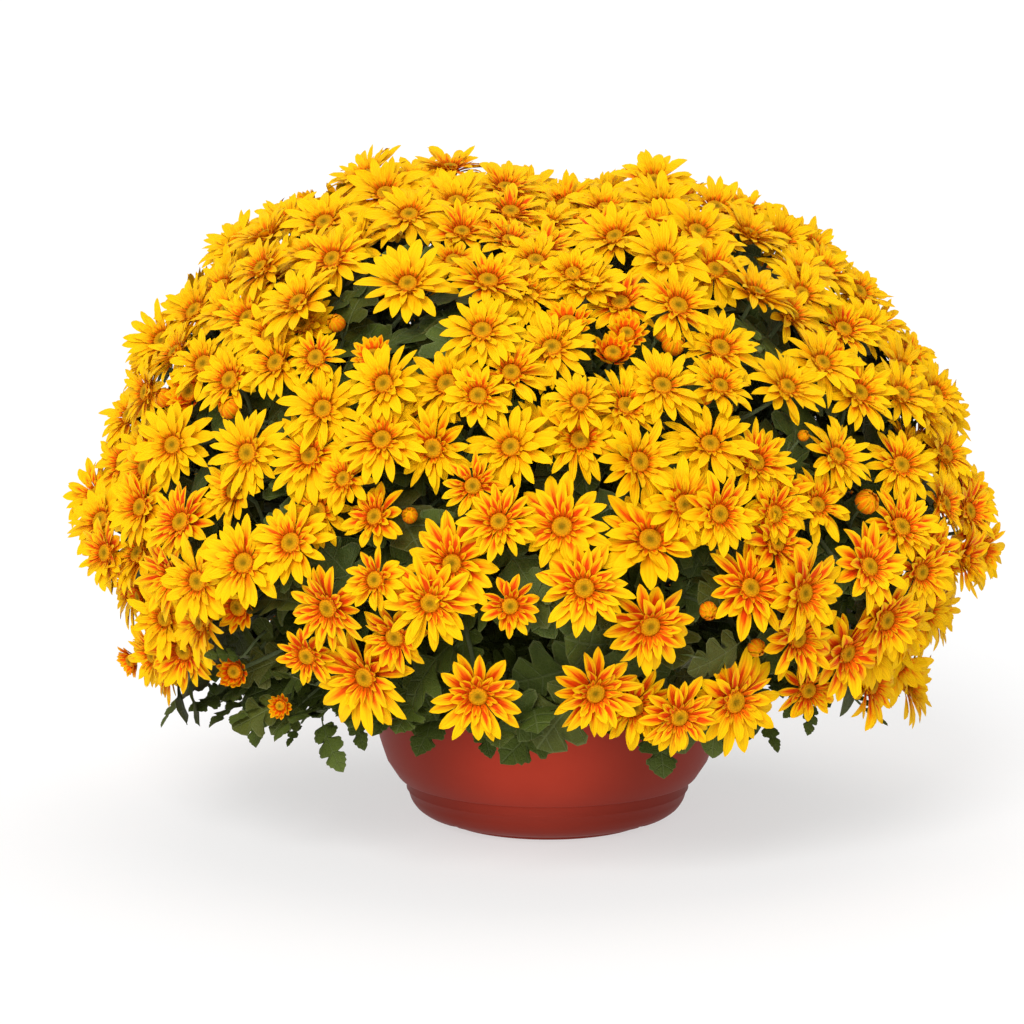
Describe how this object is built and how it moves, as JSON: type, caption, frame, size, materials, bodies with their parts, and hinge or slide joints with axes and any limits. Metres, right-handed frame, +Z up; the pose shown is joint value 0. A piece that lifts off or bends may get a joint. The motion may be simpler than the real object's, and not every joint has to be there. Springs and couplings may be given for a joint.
{
  "type": "pot chrysanthemum",
  "caption": "Pot chrysanthemum in full flower: a dense dome of orange-based yellow blooms over lobed leaves, rooted in soil in a shallow plastic bowl pot.",
  "frame": {"origin": "middle of the whole plant's box, on the surface that the pot stands on", "axes": "+Z up, -Y towards the side that the plant is looked at from, +X to its right"},
  "size_m": [0.5548, 0.5056, 0.401],
  "materials": {
    "pot_plastic": "satin terracotta-red moulded plastic",
    "potting_soil": "rough dark peat compost",
    "petal_yellow_orange": "soft petal tissue, yellow at the tips and orange-red at the bases",
    "leaf_green": "soft dark green leaf, paler and greyer beneath"
  },
  "bodies": {
    "root": {"pot": "pot_plastic", "flowering_shoot_01": "petal_yellow_orange", "flowering_shoot_02": "petal_yellow_orange", "flowering_shoot_03": "petal_yellow_orange", "flowering_shoot_04": "petal_yellow_orange", "flowering_shoot_05": "petal_yellow_orange", "flowering_shoot_06": "petal_yellow_orange", "flowering_shoot_07": "petal_yellow_orange", "flowering_shoot_08": "petal_yellow_orange", "flowering_shoot_09": "petal_yellow_orange", "flowering_shoot_10": "petal_yellow_orange", "flowering_shoot_11": "petal_yellow_orange", "flowering_shoot_12": "petal_yellow_orange", "flowering_shoot_13": "petal_yellow_orange", "flowering_shoot_14": "petal_yellow_orange", "flowering_shoot_15": "petal_yellow_orange", "flowering_shoot_16": "petal_yellow_orange", "potting_soil": "potting_soil", "leaf_front_left": "leaf_green", "leaf_front_mid_left": "leaf_green", "leaf_front_mid": "leaf_green", "leaf_front_right": "leaf_green", "leaf_front_far_left": "leaf_green", "leaf_left_1": "leaf_green", "leaf_left_2": "leaf_green", "leaf_left_3": "leaf_green", "leaf_left_4": "leaf_green", "leaf_left_5": "leaf_green", "leaf_left_6": "leaf_green", "leaf_left_7": "leaf_green", "leaf_left_8": "leaf_green", "leaf_left_9": "leaf_green", "leaf_right_1": "leaf_green", "leaf_right_2": "leaf_green", "leaf_right_3": "leaf_green", "leaf_right_4": "leaf_green", "leaf_right_5": "leaf_green", "leaf_right_6": "leaf_green", "leaf_back_1": "leaf_green", "leaf_back_2": "leaf_green", "leaf_back_3": "leaf_green", "leaf_back_4": "leaf_green", "leaf_back_5": "leaf_green", "leaf_back_6": "leaf_green", "leaf_back_7": "leaf_green", "leaf_back_8": "leaf_green", "leaf_back_9": "leaf_green", "leaf_back_10": "leaf_green", "leaf_back_11": "leaf_green", "leaf_back_12": "leaf_green", "leaf_back_13": "leaf_green", "leaf_back_14": "leaf_green"}
  },
  "joints": []
}
